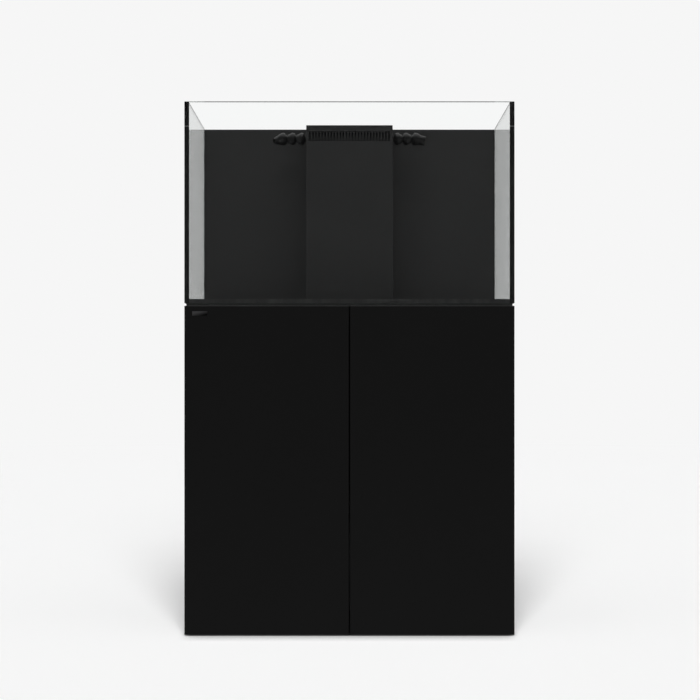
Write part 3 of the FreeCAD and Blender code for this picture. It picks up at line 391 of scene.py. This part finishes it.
# ---------------------------------------------------------------- filter sock
def felt_sock(finish):
    """The sewn felt bag that hangs in the holder: thick wall, overlap seam, soft folds and a round end."""
    wall, inset = 2.4 * MM, 1.2 * MM          # of the felt, and inside the CAD sock's outline
    top_gap, end_gap, tip_gap = 0.3 * MM, 3.0 * MM, 2.0 * MM
    slack = 1.4 * MM                          # what the folds draw in from the full radius
    fold_depth, fold_share, fold_octaves = 1.6 * MM, 0.6, 4
    fold_around, fold_down = 1.6, 5.0         # how close the folds lie round the sock, and down it
    round_end = 0.86                          # how far down the round end starts
    least_width = 0.03
    seam_angle, seam_width, seam_height = 0.9, 0.09, 0.9 * MM
    stitch_width, stitch_depth, stitches = 0.14, 0.5 * MM, 150
    rings, around = 72, 144

    low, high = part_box("filter_sock")
    centre = (low + high) / 2
    radius = (high.x - low.x) / 2 - inset
    length = high.z - low.z
    mesh = bmesh.new()
    loops = []
    for ring in range(rings + 1):
        down = ring / rings
        z = high.z - top_gap - down * (length - end_gap)
        into_end = max(0.0, (down - round_end) / (1 - round_end))
        narrow = math.sqrt(max(0.0, 1 - into_end ** 2)) * (1 - least_width) + least_width
        soft = min(1.0, down * 6) * (1 - 0.5 * into_end)
        loop = []
        for step in range(around):
            angle = 2 * math.pi * step / around
            ahead, aside = math.cos(angle), math.sin(angle)
            spot = Vector((ahead * fold_around, aside * fold_around, down * fold_down))
            fold = noise.fractal(spot, 0.6, 2.0, fold_octaves) * fold_depth * soft
            seam = seam_height * math.exp(-((angle - seam_angle) / seam_width) ** 2)
            near_seam = math.exp(-((angle - seam_angle) / stitch_width) ** 2)
            pull = stitch_depth * math.sin(down * stitches) * near_seam
            reach = (radius - slack * soft + fold * fold_share) * narrow + seam * (1 - into_end) + pull * soft
            reach = min(reach, radius)
            loop.append(mesh.verts.new((centre.x + reach * ahead, centre.y + reach * aside, z)))
        loops.append(loop)
    for upper, lower in zip(loops, loops[1:]):
        for step in range(around):
            after = (step + 1) % around
            mesh.faces.new((upper[step], lower[step], lower[after], upper[after]))
    tip = mesh.verts.new((centre.x, centre.y, low.z + tip_gap))
    for step in range(around):
        mesh.faces.new((loops[-1][step], tip, loops[-1][(step + 1) % around]))
    bmesh.ops.recalc_face_normals(mesh, faces=mesh.faces)
    data = bpy.data.meshes.new("felt_sock")
    mesh.to_mesh(data)
    mesh.free()
    for face in data.polygons:
        face.use_smooth = True
    sock = bpy.data.objects.new("felt_sock", data)
    bpy.context.collection.objects.link(sock)
    thicken = sock.modifiers.new("wall", "SOLIDIFY")
    thicken.thickness = wall
    thicken.offset = -1
    thicken.use_rim = True
    data.materials.append(finish.material)
    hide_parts("filter_sock")
    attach(sock, "sock")


# ---------------------------------------------------------------- studio
class Nodes:
    """A few short words for building a node tree that isn't a Principled material."""

    def __init__(self, tree):
        self.tree = tree
        self.link = tree.links.new

    def add(self, kind, **settings):
        made = self.tree.nodes.new(kind)
        for name, value in settings.items():
            setattr(made, name, value)
        return made

    def feed(self, socket, value):
        if isinstance(value, bpy.types.NodeSocket):
            self.link(value, socket)
        else:
            socket.default_value = value

    def maths(self, operation, first, second):
        step = self.add("ShaderNodeMath", operation=operation)
        self.feed(step.inputs[0], first)
        self.feed(step.inputs[1], second)
        return step.outputs["Value"]

    def ramp(self, value, start, end, low, high):
        change = self.add("ShaderNodeMapRange", interpolation_type="SMOOTHSTEP")
        for name, amount in zip(("From Min", "From Max", "To Min", "To Max"), (start, end, low, high)):
            change.inputs[name].default_value = amount
        self.link(value, change.inputs["Value"])
        return change.outputs["Result"]

    def choose(self, factor, first, second):
        mix = self.add("ShaderNodeMix")
        for name, value in zip(("Factor", "A", "B"), (factor, first, second)):
            self.feed(mix.inputs[name], value)
        return mix.outputs["Result"]

    def bounces(self, path):
        """How often the light has bounced, apart from going through glass."""
        return self.maths("SUBTRACT", path.outputs["Ray Depth"], path.outputs["Transmission Depth"])


def make_room():
    """A white backdrop, a broad light overhead and a dark room in front, as a glossy black object needs."""
    world = bpy.data.worlds.new("room")
    bpy.context.scene.world = world
    world.use_nodes = True
    nodes = Nodes(world.node_tree)
    direction = nodes.add("ShaderNodeTexCoord")
    parts = nodes.add("ShaderNodeSeparateXYZ")
    nodes.link(direction.outputs["Generated"], parts.inputs["Vector"])
    backdrop = nodes.ramp(parts.outputs["Y"], -0.1, 0.35, ROOM_FRONT, ROOM_BACK)
    overhead = nodes.ramp(parts.outputs["Z"], 0.45, 0.9, 0.0, ROOM_TOP)
    studio = nodes.maths("MAXIMUM", backdrop, overhead)
    path = nodes.add("ShaderNodeLightPath")
    straight = nodes.maths("LESS_THAN", nodes.bounces(path), 1.5)
    through_glass = nodes.maths("MULTIPLY", straight, path.outputs["Is Transmission Ray"])
    backed = nodes.choose(through_glass, studio, PALE * GLASS_GAIN)
    seen = nodes.choose(path.outputs["Is Camera Ray"], backed, PALE)
    nodes.link(seen, world.node_tree.nodes["Background"].inputs["Color"])


def make_floor():
    """A pale floor that fades into the white of the room, darkened by the suns' shadows and a painted contact
    shadow.

    What the camera sees of it glows and takes its shadows from the suns, and an ambient occlusion node paints
    a contact shadow into it near the object's front. What the object's light and gloss meet is plain and
    matt.
    """
    data = bpy.data.meshes.new("floor")
    corners = [(FLOOR_REACH * x, FLOOR_REACH * y, 0) for x, y in ((-1, -1), (1, -1), (1, 1), (-1, 1))]
    data.from_pydata(corners, [], [(0, 1, 2, 3)])
    floor = bpy.data.objects.new("floor", data)
    bpy.context.collection.objects.link(floor)
    material = bpy.data.materials.new("pale_floor")
    material.use_nodes = True
    material.cycles.emission_sampling = "NONE"
    nodes = Nodes(material.node_tree)
    nodes.tree.nodes.clear()
    place = nodes.add("ShaderNodeTexCoord")
    distance = nodes.add("ShaderNodeVectorMath", operation="LENGTH")
    nodes.link(place.outputs["Object"], distance.inputs[0])
    shadowed = nodes.ramp(distance.outputs["Value"], FADE_START, FADE_END, SHADOW_SHARE, 0.0)
    # Painted contact shadow: ambient occlusion darkens the floor near the object's front.
    contact = nodes.add("ShaderNodeAmbientOcclusion", samples=8)
    contact.inputs["Distance"].default_value = CONTACT_REACH
    seen = nodes.maths("LESS_THAN", nodes.bounces(nodes.add("ShaderNodeLightPath")), 0.5)
    glow = nodes.add("ShaderNodeEmission")
    kept = nodes.maths("SUBTRACT", 1.0, shadowed)
    strength = nodes.maths("MULTIPLY", nodes.maths("MULTIPLY", kept, seen), PALE)
    parts = nodes.add("ShaderNodeSeparateXYZ")
    nodes.link(place.outputs["Object"], parts.inputs["Vector"])
    start, end = CONTACT_BEHIND
    behind = nodes.ramp(parts.outputs["Y"], FRONT + start, FRONT + end, 0.0, 1.0)
    sideways = nodes.maths("ABSOLUTE", parts.outputs["X"], 0.0)
    beside = nodes.ramp(sideways, WIDTH / 2 - CONTACT_EDGE, WIDTH / 2 + CONTACT_EDGE, 0.0, 1.0)
    away = nodes.maths("MAXIMUM", behind, beside)
    # The painted contact shade applies only near the front face and within the object's width.
    painted_contact_shade = nodes.choose(away, contact.outputs["AO"], 1.0)
    nodes.link(nodes.maths("MULTIPLY", strength, painted_contact_shade), glow.inputs["Strength"])
    matt = nodes.add("ShaderNodeBsdfDiffuse")
    sun_share_with_painted_contact = nodes.maths("MULTIPLY", shadowed, painted_contact_shade)
    nodes.link(nodes.choose(seen, FLOOR_BOUNCE, sun_share_with_painted_contact), matt.inputs["Color"])
    lean = nodes.add("ShaderNodeCombineXYZ")
    for axis, part in zip("XYZ", FLOOR_LEAN):
        lean.inputs[axis].default_value = part
    nodes.link(lean.outputs["Vector"], matt.inputs["Normal"])
    both = nodes.add("ShaderNodeAddShader")
    nodes.link(glow.outputs["Emission"], both.inputs[0])
    nodes.link(matt.outputs["BSDF"], both.inputs[1])
    nodes.link(both.outputs["Shader"], nodes.add("ShaderNodeOutputMaterial").inputs["Surface"])
    data.materials.append(material)
    return floor


def make_floor_suns(floor):
    """Two columns of suns in front, left and right, that only draw the floor's soft shadows."""
    only_floor = bpy.data.collections.new("only_floor")
    only_floor.objects.link(floor)
    azimuth = math.radians(SUN_SIDE)
    for side, sign in (("left", -1), ("right", 1)):
        for degrees, share in SUN_ROWS:
            height = math.radians(degrees)
            data = bpy.data.lights.new(f"floor_sun_{side}_{degrees}", "SUN")
            data.energy = SUN_POWER * share
            data.angle = math.radians(SUN_SPREAD) * math.cos(height)
            sun = bpy.data.objects.new(data.name, data)
            bpy.context.collection.objects.link(sun)
            sun.rotation_euler = (math.radians(90) - height, 0, sign * azimuth)
            sun.light_linking.receiver_collection = only_floor


def make_camera():
    """Level and straight on, with the lens raised to put the object below the middle."""
    data = bpy.data.cameras.new("camera")
    data.sensor_width = SENSOR
    data.lens = LENS
    data.shift_x, data.shift_y = SHIFT
    data.clip_end = VIEW_END
    camera = bpy.data.objects.new("camera", data)
    bpy.context.collection.objects.link(camera)
    camera.location = (0.0, FRONT - CAMERA_DISTANCE, CAMERA_HEIGHT)
    camera.rotation_euler = (math.radians(90), 0, 0)
    bpy.context.scene.camera = camera


make_camera()
finishes = {slot: make() for slot, make in FINISHES.items()}
dress_nodes(finishes)
felt_sock(finishes["felt"])
for joint, finish in (("corner_silicone", finishes["black_silicone"]),
                      ("base_silicone", silicone("base_silicone", (0.1, 0.1, 0.1)))):
    recessed(joint, "tank_and_cabinet", finish.material)
make_room()
make_floor_suns(make_floor())
scene = bpy.context.scene
scene.view_settings.view_transform = "Standard"
scene.cycles.max_bounces = 24
scene.cycles.transmission_bounces = 24
scene.cycles.transparent_max_bounces = 32
